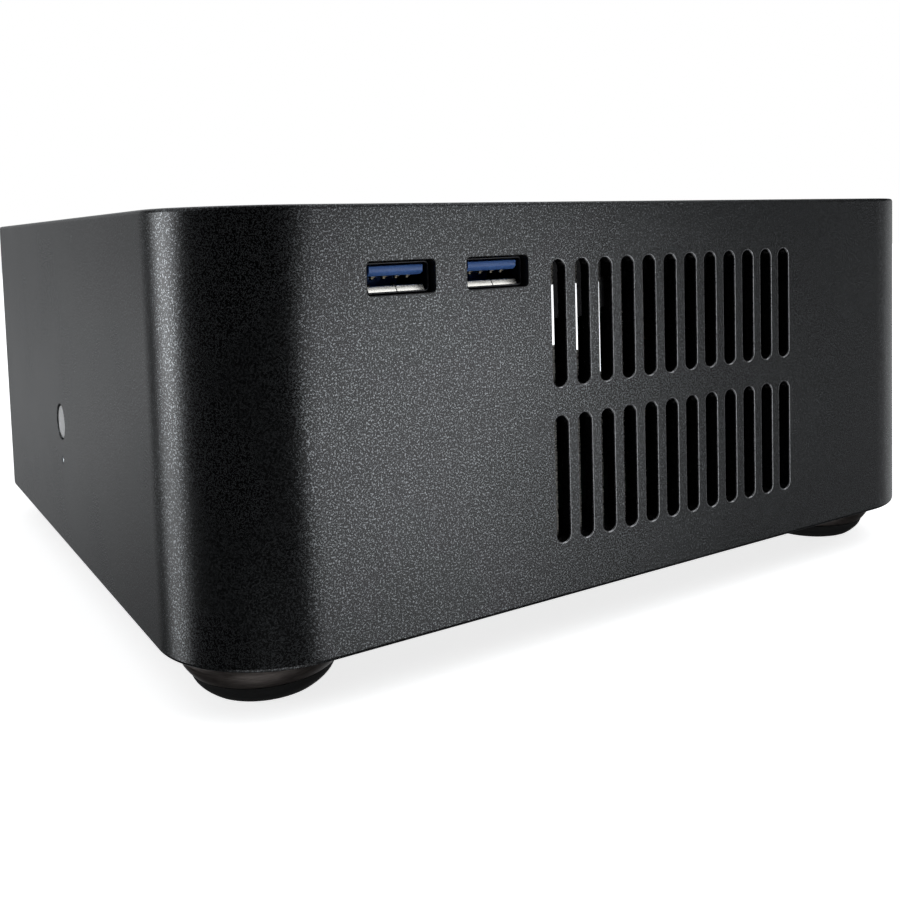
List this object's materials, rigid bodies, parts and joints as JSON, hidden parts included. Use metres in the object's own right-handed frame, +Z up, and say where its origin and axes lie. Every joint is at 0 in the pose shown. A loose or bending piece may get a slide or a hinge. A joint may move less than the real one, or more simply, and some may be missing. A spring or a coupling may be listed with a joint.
{
  "type": "mini pc",
  "caption": "Compact black aluminium desktop computer: rounded ring case on round feet, front vent slots and twin ports, side power button, fan and boards inside.",
  "frame": {"origin": "centre of the footprint, on the surface the feet stand on", "axes": "+Z up, front panel faces -Y, power button side faces -X"},
  "size_m": [0.2, 0.202, 0.09],
  "materials": {
    "black_anodised": "fine bead-blasted black anodising, satin with a sparkling grain",
    "black_screw": "black oxide, satin",
    "foot_metal": "turned, dark satin anodising",
    "black_rubber": "matt",
    "silver_metal": "turned satin face",
    "plated_steel": "nickel plated, satin",
    "black_plastic": "fine moulded texture",
    "blue_plastic": "moulded, satin",
    "lens_plastic": "clear, polished",
    "circuit_board": "solder mask, semi-gloss",
    "brass": "turned",
    "aluminium": "extruded, mill finish",
    "drive_metal": "dark satin"
  },
  "bodies": {
    "case": {"audio_jacks": "black_plastic", "base_screw_front_left": "black_screw", "base_screw_front_right": "black_screw", "base_screw_rear_left": "black_screw", "base_screw_rear_right": "black_screw", "board_screw_front_left": "plated_steel", "board_screw_front_right": "plated_steel", "board_screw_rear_left": "plated_steel", "board_screw_rear_right": "plated_steel", "bottom_plate": "black_anodised", "button_holder": "black_plastic", "case_shell": "black_anodised", "chipset_heatsink": "aluminium", "cover_screw_front_left": "black_screw", "cover_screw_front_right": "black_screw", "cover_screw_rear_left": "black_screw", "cover_screw_rear_right": "black_screw", "cpu_socket": "black_plastic", "drive": "drive_metal", "drive_bracket": "drive_metal", "fan_frame": "black_plastic", "foot_pad_front_left": "black_rubber", "foot_pad_front_right": "black_rubber", "foot_pad_rear_left": "black_rubber", "foot_pad_rear_right": "black_rubber", "foot_ring_front_left": "foot_metal", "foot_ring_front_right": "foot_metal", "foot_ring_rear_left": "foot_metal", "foot_ring_rear_right": "foot_metal", "front_usb_board": "circuit_board", "front_usb_bracket": "plated_steel", "front_usb_shell_left": "plated_steel", "front_usb_shell_right": "plated_steel", "front_usb_tongue_left": "blue_plastic", "front_usb_tongue_right": "blue_plastic", "heatsink": "aluminium", "io_shield": "plated_steel", "lan_jack": "plated_steel", "led_lens": "lens_plastic", "memory_module_left": "circuit_board", "memory_module_right": "circuit_board", "memory_slot_left": "black_plastic", "memory_slot_right": "black_plastic", "motherboard": "circuit_board", "power_converter": "circuit_board", "power_header": "black_plastic", "power_inlet": "black_plastic", "power_switch": "black_plastic", "processor": "plated_steel", "rear_usb_stack": "plated_steel", "standoff_front_left": "brass", "standoff_front_right": "brass", "standoff_rear_left": "brass", "standoff_rear_right": "brass", "top_cover": "black_anodised", "video_port": "plated_steel"},
    "power_button": {"power_button": "silver_metal"},
    "fan_rotor": {"fan_rotor": "black_plastic"},
    "memory_latch_left": {"memory_latch_left": "black_plastic"},
    "memory_latch_right": {"memory_latch_right": "black_plastic"}
  },
  "joints": [
    {"name": "power_button_press", "type": "slide", "parent": "case", "child": "power_button", "axis": [1, 0, 0], "range_m": [0, 0.001], "stiffness_N_per_m": 1500},
    {"name": "fan_spin", "type": "hinge", "parent": "case", "child": "fan_rotor", "pos_m": [0.005, 0.035, 0.07], "axis": [0, 0, 1], "continuous": true},
    {"name": "memory_latch_left_tilt", "type": "hinge", "parent": "case", "child": "memory_latch_left", "pos_m": [0.058, -0.0686, 0.0246], "axis": [1, 0, 0], "range_deg": [0, 35]},
    {"name": "memory_latch_right_tilt", "type": "hinge", "parent": "case", "child": "memory_latch_right", "pos_m": [0.068, -0.0686, 0.0246], "axis": [1, 0, 0], "range_deg": [0, 35]}
  ]
}
